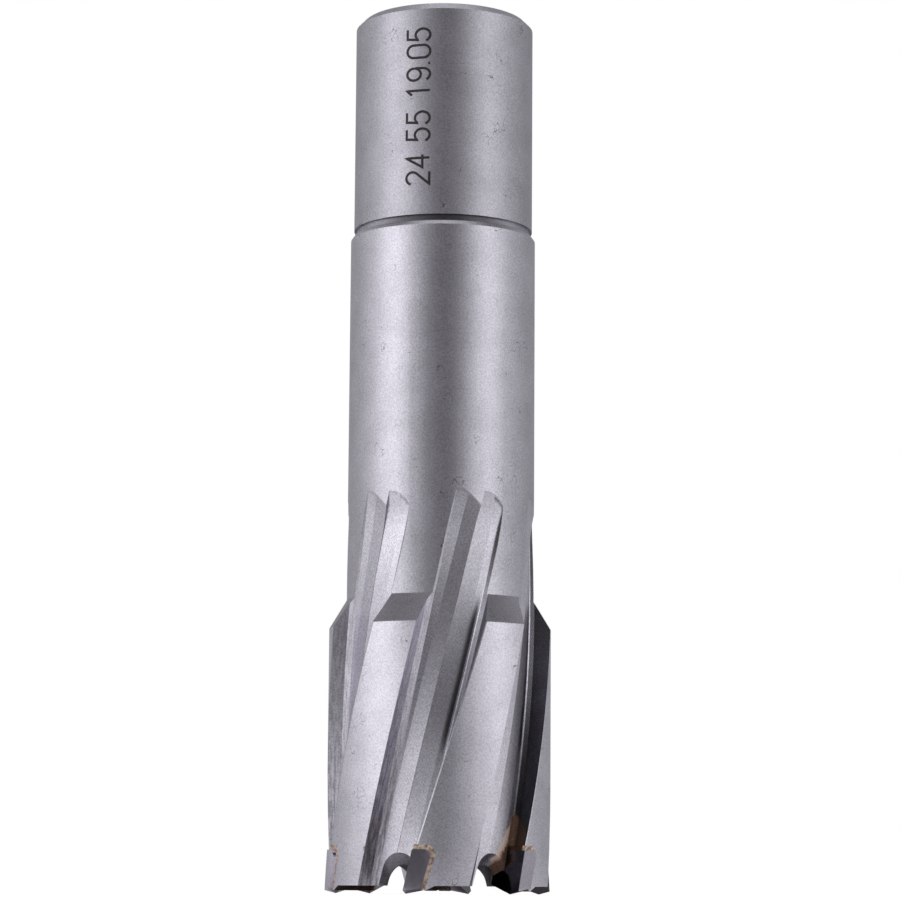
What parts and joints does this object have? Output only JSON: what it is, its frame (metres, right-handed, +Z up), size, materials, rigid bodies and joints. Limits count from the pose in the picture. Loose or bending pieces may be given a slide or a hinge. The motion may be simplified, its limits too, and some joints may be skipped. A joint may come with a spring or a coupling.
{
  "type": "annular cutter",
  "caption": "Tubular core cutter with a cylindrical shank, helical two-step flutes and brazed carbide teeth around an open cup, for drilling holes in plate.",
  "frame": {"origin": "on the cutter's axis, in the plane of the lowest tooth points", "axes": "+Z up the axis from the teeth to the shank end; -Y faces the viewer of the picture; +X to the viewer's right"},
  "size_m": [0.0234, 0.024, 0.093],
  "materials": {
    "tool_steel": "satin ground, with fine milling lines in the flutes",
    "carbide": "dull dark grey, ground",
    "braze": "dull golden brown, as cast"
  },
  "bodies": {
    "root": {"cutter_body": "tool_steel", "carbide_tip_1": "carbide", "braze_joint_1": "braze", "carbide_tip_2": "carbide", "braze_joint_2": "braze", "carbide_tip_3": "carbide", "braze_joint_3": "braze", "carbide_tip_4": "carbide", "braze_joint_4": "braze", "carbide_tip_5": "carbide", "braze_joint_5": "braze", "carbide_tip_6": "carbide", "braze_joint_6": "braze"}
  },
  "joints": []
}
